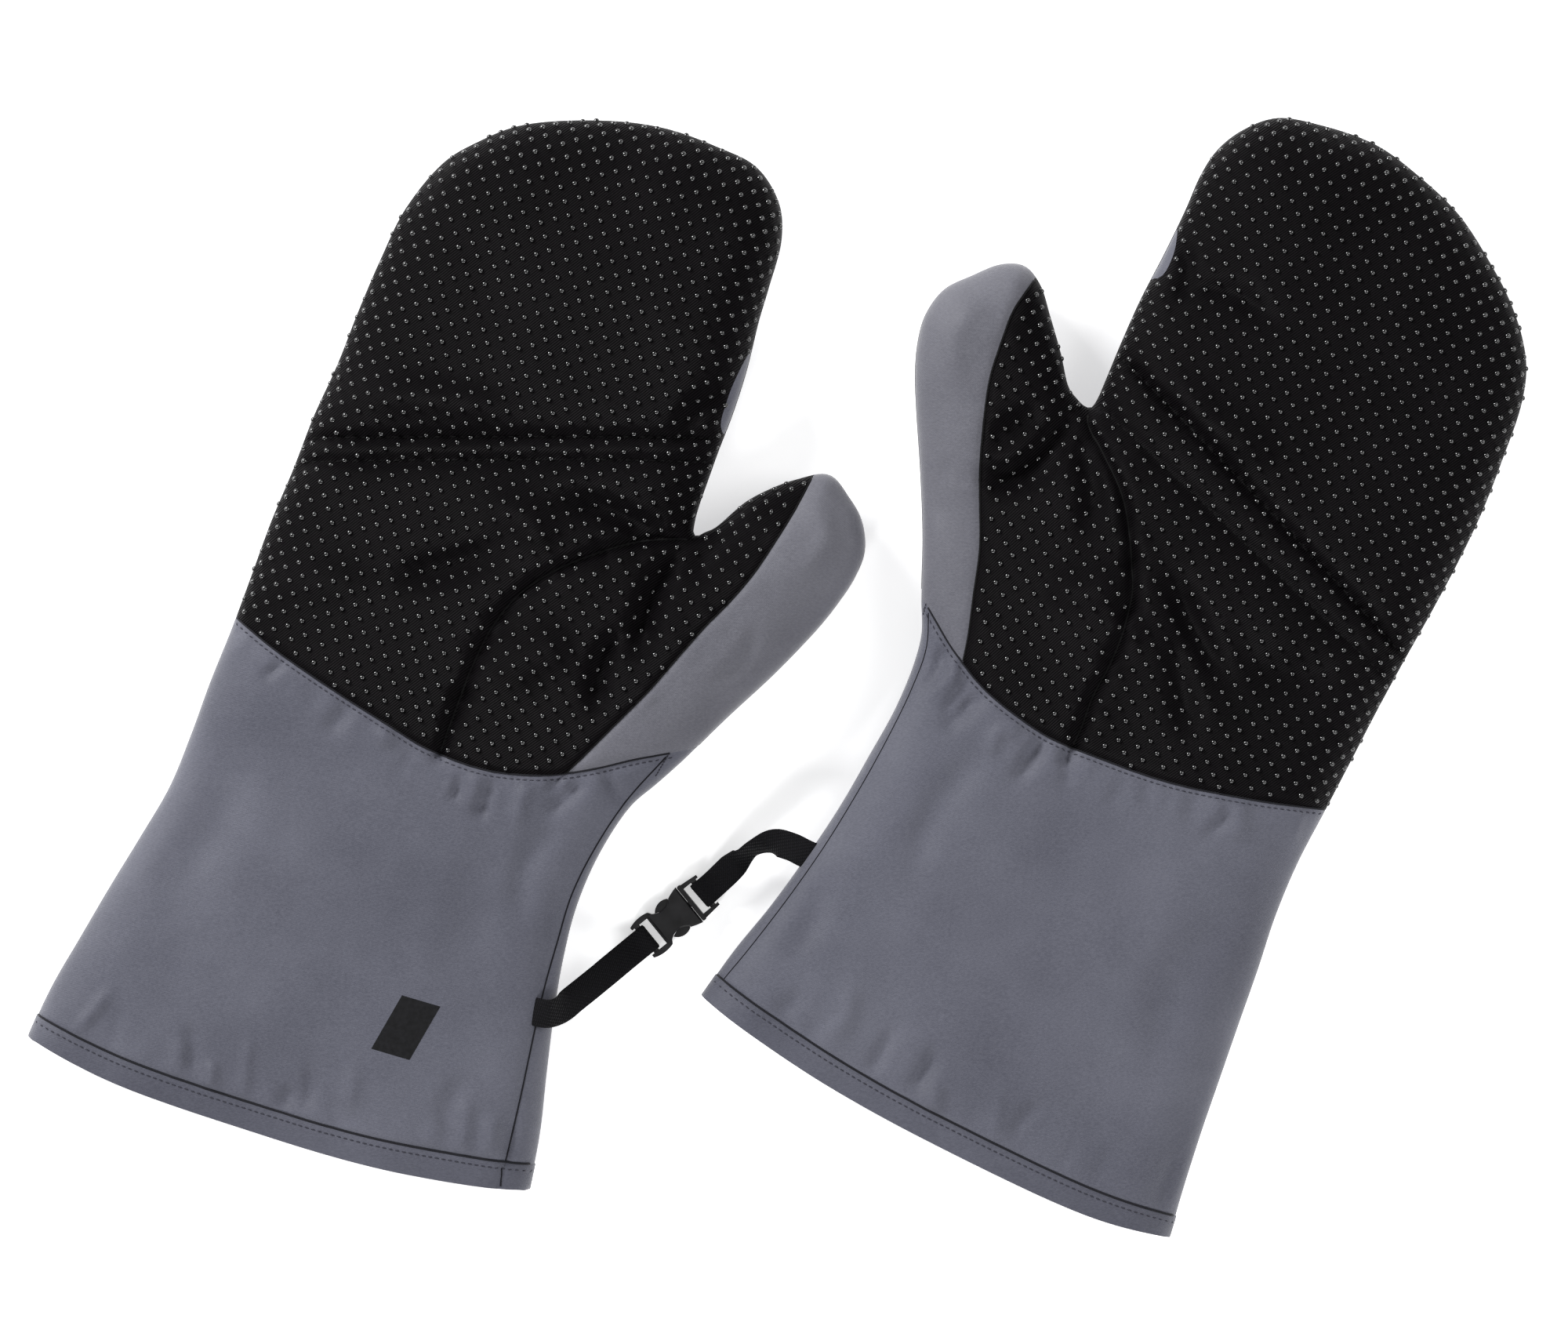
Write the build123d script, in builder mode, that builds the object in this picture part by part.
"""Pair of padded gauntlet mittens, lying palm up, with their cuffs joined by two short
webbing straps and a side-release buckle.

The frame is +X to the right, +Y towards the fingertips and +Z up out of the palms. The
mittens rest on z = 0, and the origin is the middle of the pair's footprint.

Each mitten is a nest of rounded forms, one inside the next: outer cloth, padding and
lining in the hand, and outer cloth and lining in the cuff. The nest is divided by its
seams into panels, and by a round cut at the knuckles and at the thumb's root into the
three stiff lengths that bend on each other.
"""

import os
from dataclasses import dataclass
from math import cos, radians, sin, tan

from build123d import *

# ---- Driving dimensions, mm ----------------------------------------------------------

LOFT = 36.0  # thickness of a mitten lying flat
EDGE_ROUND = 14.0  # rounding of the sides, from palm to back
SHELL = 0.8  # outer cloth
PADDING = 2.8  # insulating felt in the hand
LINING = 0.6
LAYER_GAP = 0.2  # air between two layers
HEM_WIDTH = 10.5
BEND_R = 22.0  # round cut at a bend, larger than half the loft
BODY_GAP = 0.3  # between two pieces that move on each other

WEB_WIDTH = 10.0
WEB_THICK = 1.0  # one ply of webbing
BAR_R = 1.1  # the bar that the webbing wraps
BAR_CLEAR = 0.05
BUCKLE_THICK = 6.0
FRAME_THICK = 3.6
BUCKLE_LENGTH = 30.1
BUCKLE_PLACE = (-51.57, -96.165)  # middle of the socket's strap end
BUCKLE_TURN = 39.0  # degrees from +X

MID = LOFT / 2
LINE_Z = BUCKLE_THICK / 2  # the buckle lies on the table
CUFF_VOID = SHELL + LAYER_GAP + LINING  # from the outside to the bare inside
PADDING_IN = SHELL + LAYER_GAP
LINING_IN = PADDING_IN + PADDING + LAYER_GAP
HAND_VOID = LINING_IN + LINING
BELOW_HEM = -25.0  # outlines run past the hem, which is cut after rounding
FAR = 420.0  # beyond any part of one mitten
UP = Vector(0, 0, 1)


def unit(degrees):
    """Unit vector (towards the thumb, towards the fingertips) at an angle."""
    return (cos(radians(degrees)), sin(radians(degrees)))


def step(point, degrees, length):
    """The point that lies a length away at an angle."""
    across, along = unit(degrees)
    return (point[0] + length * across, point[1] + length * along)


@dataclass
class Mitten:
    """One mitten's own shape. Points are (towards the thumb, towards the fingertips)
    from the middle of the hem, and side is +1 where the thumb is towards +X."""

    name: str
    side: int
    origin: tuple
    lean: float
    outline: list
    cuff_seam: list
    gusset_seam: list
    strip_seam: list
    knuckle: tuple
    knuckle_slope: float
    thumb_root: tuple
    thumb_turn: float
    strap_at: tuple

    def plane(self, height=0.0):
        lean = radians(self.lean)
        across = (cos(lean), -sin(lean), 0)
        return Plane(origin=(*self.origin, height), x_dir=across, z_dir=(0, 0, 1))

    def on(self, points):
        return [(self.side * across, along) for across, along in points]

    def place(self, point, height=0.0):
        """A point of the mitten in the pair's frame."""
        return self.plane(height).from_local_coords(Vector(self.side * point[0], point[1]))

    def aim(self, degrees):
        """Unit vector in the pair's frame, at an angle from the thumb-side direction."""
        return self.place(unit(degrees)) - self.place((0, 0))


RIGHT = Mitten(
    name="right",
    side=1,
    origin=(-178.77, -156.365),
    lean=16.6,
    outline=[
        (-98.5, BELOW_HEM),
        (-80, 68),
        (-69, 130),
        (-62, 215),
        (-52.5, 312),
        (-35, 355),
        (10, 377),
        (66, 376),
        (84, 350),
        (80.5, 300),
        (80.5, 241),
        (107, 266),
        (129, 275),
        (145, 252),
        (134, 222),
        (101, 163),
        (82, 128),
        (78, 88),
        (96.5, BELOW_HEM),
    ],
    cuff_seam=[(-110, 180), (-66, 164.5), (-18, 147.8), (20, 138.6), (56, 142.4), (160, 190)],
    gusset_seam=[(81.3, 243), (49.2, 223.8), (26.7, 192.5), (18, 153.6), (20, 120)],
    strip_seam=[(118, 285), (109.7, 244.7), (94.4, 208.3), (72.8, 164.2), (55, 125)],
    knuckle=(80.5, 273.0),
    knuckle_slope=16.0,
    thumb_root=(81.5, 246.0),
    thumb_turn=56.0,
    strap_at=(82.2, 62.5),
)

LEFT = Mitten(
    name="left",
    side=-1,
    origin=(53.23, -158.065),
    lean=27.9,
    outline=[
        (-97, BELOW_HEM),
        (-79, 75),
        (-70, 130),
        (-71, 280),
        (-66, 330),
        (-46, 358),
        (2, 380),
        (60, 377),
        (76, 352),
        (70.5, 285),
        (69, 243),
        (90, 268),
        (114, 283),
        (139, 264),
        (136, 235),
        (90, 155),
        (81, 125),
        (81, 90),
        (100, BELOW_HEM),
    ],
    cuff_seam=[(-110, 175), (-70, 161.4), (-19, 144.8), (27.5, 138), (58, 142.8), (150, 190)],
    gusset_seam=[(69.4, 246), (44.7, 223.9), (26.6, 195.7), (22, 157.3), (20, 120)],
    strip_seam=[(108, 295), (108.7, 252.8), (94.5, 210), (75.7, 169.7), (60, 125)],
    knuckle=(70.5, 275.5),
    knuckle_slope=16.0,
    thumb_root=(70.5, 248.5),
    thumb_turn=56.0,
    strap_at=(87.0, 63.2),
)

os.makedirs("parts", exist_ok=True)


def keep(piece, name):
    """Label a finished piece and write it to its own file."""
    piece.part.label = name
    export_step(piece.part, f"parts/{name}.step")


def corner_radii(corners, share=0.45):
    """The largest arc that each corner's two runs have room for."""
    radii = []
    for i, corner in enumerate(corners):
        before = Vector(*corner) - Vector(*corners[i - 1])
        after = Vector(*corners[(i + 1) % len(corners)]) - Vector(*corner)
        run = min(before.length, after.length)
        radii.append(share * run / tan(radians(before.get_angle(after) / 2)))
    return radii


# ---- Forms and zones of a mitten -----------------------------------------------------


def rounded_form(mitten, inset):
    """The mitten's outer form, shrunk evenly by the inset, and open past the hem."""
    corners = mitten.on(mitten.outline)
    with BuildPart() as form:
        with BuildSketch(mitten.plane(inset)):
            with BuildLine():
                FilletPolyline(*corners, radius=corner_radii(corners), close=True)
            make_face()
            if inset:
                offset(amount=-inset)
        extrude(amount=LOFT - 2 * inset)
        ends = form.faces().filter_by(Axis.Z)
        fillet(ends.edges(), EDGE_ROUND - inset)
    return form.part


def zone_under(mitten, seam, past=FAR):
    """Everything on the wrist side of a seam that crosses the mitten."""
    with BuildPart() as zone:
        with BuildSketch(mitten.plane(-1)):
            with BuildLine():
                line = Spline(*mitten.on(seam))
                Polyline(
                    line @ 1,
                    (mitten.side * past, -past),
                    (-mitten.side * past, -past),
                    line @ 0,
                )
            make_face()
        extrude(amount=LOFT + 2)
    return zone.part


def zone_thumbward(mitten, seam, past=FAR):
    """Everything on the thumb side of a seam that runs along the mitten."""
    with BuildPart() as zone:
        with BuildSketch(mitten.plane(-1)):
            with BuildLine():
                line = Spline(*mitten.on(seam))
                Polyline(
                    line @ 1,
                    (mitten.side * past, seam[-1][1] - past),
                    (mitten.side * past, past),
                    (mitten.side * seam[0][0], past),
                    line @ 0,
                )
            make_face()
        extrude(amount=LOFT + 2)
    return zone.part


def hem_zone(mitten, rise):
    """Everything below the hem's bowed edge, or below that edge raised by a distance."""
    bow = mitten.on([(-115, 2.5), (0, -7), (115, 2.5)])
    raised = [(across, along + rise) for across, along in bow]
    with BuildPart() as zone:
        with BuildSketch(mitten.plane(-2)):
            with BuildLine():
                line = ThreePointArc(*raised)
                Polyline(
                    line @ 1,
                    (mitten.side * 115, -60),
                    (-mitten.side * 115, -60),
                    line @ 0,
                )
            make_face()
        extrude(amount=LOFT + 4)
    return zone.part


def upper_half(mitten):
    """The palm side of the seam that runs round the mitten at half its loft."""
    with BuildPart() as half:
        with BuildSketch(mitten.plane(MID)):
            Rectangle(2 * FAR, 2 * FAR)
        extrude(amount=MID + 2)
    return half.part


def bend_zone(mitten, start, pointing, line_turn, length, spare, radius):
    """The part beyond a bend: all that lies past the hinge line, and a cylinder about
    it. The line leaves its start at a quarter turn from the way the part points, and
    the flat side of the zone runs a spare length past the start."""
    along_line = pointing + line_turn
    first = step(start, along_line, -spare)
    last = step(start, along_line, length)
    corners = [first, last, step(last, pointing, length), step(first, pointing, length)]
    hinge = Plane(
        origin=mitten.place(start, MID),
        x_dir=(0, 0, 1),
        z_dir=mitten.aim(along_line),
    )
    with BuildPart() as zone:
        with BuildSketch(mitten.plane(-2)):
            Polygon(*mitten.on(corners), align=None)
        extrude(amount=LOFT + 4)
        with BuildSketch(hinge):
            Circle(radius)
        extrude(amount=length)
    return zone.part


def finger_zone(mitten, gap=0.0):
    """The fingers' length of the mitten, with the knuckles as its hinge line."""
    pointing = 90 + mitten.knuckle_slope
    return bend_zone(mitten, mitten.knuckle, pointing, 90, 170, 35, BEND_R + gap)


def thumb_zone(mitten, gap=0.0):
    """The thumb's own length, from the crotch outwards."""
    start = step(mitten.thumb_root, mitten.thumb_turn - 90, BODY_GAP - gap)
    return bend_zone(mitten, start, mitten.thumb_turn, -90, 90, 0, BEND_R + gap)


# ---- Pieces of a mitten --------------------------------------------------------------


def piece_of(layer, name, within=(), without=()):
    """Write the piece of one layer that lies within some zones and outside others."""
    outer, inner = layer
    with BuildPart() as piece:
        add(outer)
        add(inner, mode=Mode.SUBTRACT)
        for zone in within:
            add(zone, mode=Mode.INTERSECT)
        for zone in without:
            add(zone, mode=Mode.SUBTRACT)
    with BuildPart() as main:
        add(piece.solids().sort_by(SortBy.VOLUME)[-1])
    keep(main, name)


def build_mitten(mitten):
    name = mitten.name
    outside = rounded_form(mitten, 0)
    shell = (outside, rounded_form(mitten, SHELL))
    padding = (rounded_form(mitten, PADDING_IN), rounded_form(mitten, PADDING_IN + PADDING))
    lining = (rounded_form(mitten, LINING_IN), rounded_form(mitten, HAND_VOID))
    cuff_void = rounded_form(mitten, CUFF_VOID)
    cuff_lining = (padding[0], cuff_void)
    band = (outside, cuff_void)

    upper = upper_half(mitten)
    mouth = hem_zone(mitten, 0)
    hem = hem_zone(mitten, HEM_WIDTH)
    cuff = zone_under(mitten, mitten.cuff_seam)
    gusset = zone_thumbward(mitten, mitten.gusset_seam)
    strip = zone_thumbward(mitten, mitten.strip_seam)
    fingers = finger_zone(mitten)
    thumb = thumb_zone(mitten)
    off_fingers = finger_zone(mitten, BODY_GAP)
    off_thumb = thumb_zone(mitten, BODY_GAP)
    off_hand = [cuff, off_fingers, off_thumb]

    piece_of(band, f"{name}_hem_band", [hem], [mouth])
    piece_of(shell, f"{name}_cuff_front_panel", [cuff, upper], [hem])
    piece_of(shell, f"{name}_cuff_back_panel", [cuff], [upper, hem])
    piece_of(cuff_lining, f"{name}_cuff_lining", [cuff], [hem])

    piece_of(shell, f"{name}_palm_panel", [upper], [gusset, *off_hand])
    piece_of(shell, f"{name}_thumb_gusset_panel", [upper, gusset], [strip, *off_hand])
    piece_of(shell, f"{name}_thumb_side_panel", [upper, strip], off_hand)
    piece_of(shell, f"{name}_hand_back_panel", [], [upper, *off_hand])
    piece_of(padding, f"{name}_hand_padding", [], off_hand)
    piece_of(lining, f"{name}_hand_lining", [], off_hand)

    piece_of(shell, f"{name}_finger_palm_panel", [fingers, upper], [off_thumb])
    piece_of(shell, f"{name}_finger_back_panel", [fingers], [upper, off_thumb])
    piece_of(padding, f"{name}_finger_padding", [fingers], [off_thumb])
    piece_of(lining, f"{name}_finger_lining", [fingers], [off_thumb])

    piece_of(shell, f"{name}_thumb_palm_panel", [thumb, upper], [strip])
    piece_of(shell, f"{name}_thumb_tip_side_panel", [thumb, upper, strip])
    piece_of(shell, f"{name}_thumb_back_panel", [thumb], [upper])
    piece_of(padding, f"{name}_thumb_padding", [thumb])
    piece_of(lining, f"{name}_thumb_lining", [thumb])
    return outside


forms = {mitten.name: build_mitten(mitten) for mitten in (RIGHT, LEFT)}

# ---- Buckle --------------------------------------------------------------------------

buckle_along = Vector(cos(radians(BUCKLE_TURN)), sin(radians(BUCKLE_TURN)))
buckle_plane = Plane(
    origin=(*BUCKLE_PLACE, LINE_Z),
    x_dir=buckle_along,
    z_dir=(0, 0, 1),
)
SOCKET_BAR_AT = 2.1
PLUG_BAR_AT = BUCKLE_LENGTH - 2.1
SLOT_HALF = 5.65
SOCKET_MOUTH = 21.6
LATCH_AT = 17.1
PLUG_FACE = 21.9
CAVITY_HALF = 5.5
CAVITY_HIGH = 3.9
PRONG_ROOT = (21.0, 4.5)
PRONG_ROOT_R = 0.6
PRONG_HIGH = 3.5


def bar_plane(at):
    """The plane whose normal is a strap bar's axis, at the bar."""
    centre = buckle_plane.from_local_coords((at, 0))
    return Plane(origin=centre, x_dir=UP, z_dir=UP.cross(buckle_along))


def strap_bar(at):
    with BuildPart() as bar:
        with BuildSketch(bar_plane(at)):
            Circle(BAR_R)
        extrude(amount=SLOT_HALF + 0.5, both=True)
    return bar.part


def block(along_from, along_to, across, high):
    """A block of the buckle, centred across it and in its thickness."""
    with BuildPart() as made:
        with BuildSketch(buckle_plane.offset(-high / 2)):
            with Locations(((along_from + along_to) / 2, 0)):
                Rectangle(along_to - along_from, across)
        extrude(amount=high)
    return made.part


socket_slot = block(-1, 6.75, 2 * SLOT_HALF, BUCKLE_THICK + 1)
socket_windows = block(9.6, LATCH_AT, 18, CAVITY_HIGH)
socket_throat = block(LATCH_AT, SOCKET_MOUTH + 1, 2 * CAVITY_HALF, CAVITY_HIGH)
socket_bar_solid = strap_bar(SOCKET_BAR_AT)

with BuildPart() as socket:
    with BuildSketch(buckle_plane.offset(-BUCKLE_THICK / 2)):
        with BuildLine():
            Line((7.4, 0), (7.4, 6.4))
            Line((7.4, 6.4), (9.4, 5.6))
            ThreePointArc((9.4, 5.6), (13.3, 4.4), (17.2, 6.5))
            ThreePointArc((17.2, 6.5), (19.5, 7.35), (SOCKET_MOUTH, 7.9))
            Line((SOCKET_MOUTH, 7.9), (SOCKET_MOUTH, 0))
            mirror(about=Plane.XZ)
        make_face()
    extrude(amount=BUCKLE_THICK)
    flats = socket.faces().filter_by(Axis.Z)
    chamfer(flats.edges(), 0.5)
    with BuildSketch(buckle_plane.offset(-FRAME_THICK / 2)):
        with BuildLine():
            Line((0, 0), (0, 6.8))
            ThreePointArc((0, 6.8), (4.4, 7.7), (8.2, 7.2))
            Line((8.2, 7.2), (9.2, 5.6))
            Line((9.2, 5.6), (9.2, 0))
            mirror(about=Plane.XZ)
        make_face()
    extrude(amount=FRAME_THICK)
    add(socket_slot, mode=Mode.SUBTRACT)
    add(socket_windows, mode=Mode.SUBTRACT)
    add(socket_throat, mode=Mode.SUBTRACT)
    add(socket_bar_solid)
keep(socket, "buckle_socket")

plug_flange = block(PLUG_FACE, 23.5, 15.4, BUCKLE_THICK)
plug_slot = block(23.5, BUCKLE_LENGTH + 1, 2 * SLOT_HALF, BUCKLE_THICK + 1)
plug_guide = block(10.6, PLUG_FACE + 0.5, 2.2, 3.0)
plug_bar_solid = strap_bar(PLUG_BAR_AT)

with BuildPart() as plug:
    add(plug_flange)
    fillet(plug.edges().filter_by(Axis.Z), 0.6)
    with BuildSketch(buckle_plane.offset(-FRAME_THICK / 2)):
        with BuildLine():
            Line((PLUG_FACE + 0.4, 0), (PLUG_FACE + 0.4, 7.5))
            Line((PLUG_FACE + 0.4, 7.5), (BUCKLE_LENGTH, 6.75))
            Line((BUCKLE_LENGTH, 6.75), (BUCKLE_LENGTH, 0))
            mirror(about=Plane.XZ)
        make_face()
    extrude(amount=FRAME_THICK)
    add(plug_slot, mode=Mode.SUBTRACT)
    add(plug_guide)
    add(plug_bar_solid)
keep(plug, "buckle_plug")


def latch_prong(side, name):
    """One springy side of the plug: a button that fills the socket's window, on a stem
    whose rounded root meets the plug."""
    root_x, root_y = PRONG_ROOT

    def at(along, across):
        return (along, side * across)

    with BuildPart() as prong:
        with BuildSketch(buckle_plane.offset(-PRONG_HIGH / 2)):
            with BuildLine():
                ThreePointArc(at(10.1, 5.3), at(13.2, 7.3), at(16.8, 6.6))
                Line(at(16.8, 6.6), at(16.8, 5.1))
                Line(at(16.8, 5.1), at(root_x, root_y + PRONG_ROOT_R))
                Line(at(root_x, root_y + PRONG_ROOT_R), at(root_x, root_y - PRONG_ROOT_R))
                Line(at(root_x, root_y - PRONG_ROOT_R), at(16.4, 3.8))
                ThreePointArc(at(16.4, 3.8), at(13.2, 4.2), at(10.1, 5.3))
            make_face()
            with Locations(at(root_x, root_y)):
                Circle(PRONG_ROOT_R)
        extrude(amount=PRONG_HIGH)
    keep(prong, name)


latch_prong(1, "latch_prong_front")
latch_prong(-1, "latch_prong_rear")

# ---- Straps --------------------------------------------------------------------------

STRAP_THICK = 2 * WEB_THICK  # two plies, sewn together past the bar
NOSE_R = STRAP_THICK / 2
LOOP_R = BAR_R + BAR_CLEAR + WEB_THICK
SOCKET_STRAP_RUN = 31.0  # from the socket's bar to the right mitten's fold
LEFT_FOLD_OFF_WALL = NOSE_R + BODY_GAP + 0.5
TAB_REACH = 11.0
LEFT_STRAP_LEAVES = 10.9  # straight out of the left cuff before it turns to the buckle
STRAP_CORNER_R = 12.0
STRAP_LOW_RUN = 8.0  # level at the buckle's height before the strap climbs
STRAP_HIGH_RUN = 6.0  # level at the seam's height before the fold
RISE = MID - LINE_Z


def strap(bar_at, corners, name):
    """A doubled strap, from its loop round the buckle's bar, along its plan corners, to
    the rounded end that folds at the cuff. It climbs from the buckle to the seam."""
    bar = corners[0]
    fold = corners[-1]
    chord = fold - bar
    final = (fold - corners[-2]).normalized()
    side_view = Plane(origin=(bar.X, bar.Y, LINE_Z), x_dir=chord, z_dir=chord.cross(UP))
    fold_plane = Plane(origin=(fold.X, fold.Y, MID), x_dir=UP, z_dir=final.cross(UP))
    with BuildPart() as web:
        with BuildSketch():
            with BuildLine():
                if len(corners) > 2:
                    FilletPolyline(*corners, radius=STRAP_CORNER_R)
                else:
                    Line(*corners)
            trace(line_width=WEB_WIDTH)
        extrude(amount=LOFT)
        with BuildSketch(side_view):
            with BuildLine():
                FilletPolyline(
                    (-5, 0),
                    (STRAP_LOW_RUN, 0),
                    (chord.length - STRAP_HIGH_RUN, RISE),
                    (chord.length + 10, RISE),
                    radius=4,
                )
            trace(line_width=STRAP_THICK)
        extrude(amount=3 * WEB_WIDTH, both=True, mode=Mode.INTERSECT)
        with BuildSketch(fold_plane):
            Circle(NOSE_R)
        extrude(amount=WEB_WIDTH / 2, both=True)
        with BuildSketch(bar_plane(bar_at)):
            Circle(LOOP_R)
        extrude(amount=WEB_WIDTH / 2, both=True)
        with BuildSketch(bar_plane(bar_at)):
            Circle(BAR_R + BAR_CLEAR)
        extrude(amount=WEB_WIDTH, both=True, mode=Mode.SUBTRACT)
    keep(web, name)


def strap_tab(mitten, fold, heading, name):
    """The stub of webbing caught in the cuff's side seam, up to the strap's fold. The
    heading points from the fold into the cuff."""
    reach = Plane(
        origin=(fold.X, fold.Y, MID - STRAP_THICK / 2), x_dir=heading, z_dir=(0, 0, 1)
    )
    start = NOSE_R + BODY_GAP
    with BuildPart() as tab:
        with BuildSketch(reach):
            with Locations((start, 0)):
                Rectangle(TAB_REACH, WEB_WIDTH, align=(Align.MIN, Align.CENTER))
        extrude(amount=STRAP_THICK)
        add(forms[mitten.name], mode=Mode.SUBTRACT)
    keep(tab, name)


socket_bar = buckle_plane.from_local_coords((SOCKET_BAR_AT, 0))
socket_bar = Vector(socket_bar.X, socket_bar.Y)
right_fold = socket_bar - buckle_along * SOCKET_STRAP_RUN
strap(SOCKET_BAR_AT, [socket_bar, right_fold], "right_strap")
strap_tab(RIGHT, right_fold, -buckle_along, "right_strap_tab")

plug_bar = buckle_plane.from_local_coords((PLUG_BAR_AT, 0))
plug_bar = Vector(plug_bar.X, plug_bar.Y)
left_wall = LEFT.place(LEFT.strap_at)
left_out = LEFT.aim(0)
left_fold = left_wall + left_out * LEFT_FOLD_OFF_WALL
left_corner = left_fold + left_out * LEFT_STRAP_LEAVES
strap(PLUG_BAR_AT, [plug_bar, left_corner, left_fold], "left_strap")
strap_tab(LEFT, left_fold, -left_out, "left_strap_tab")
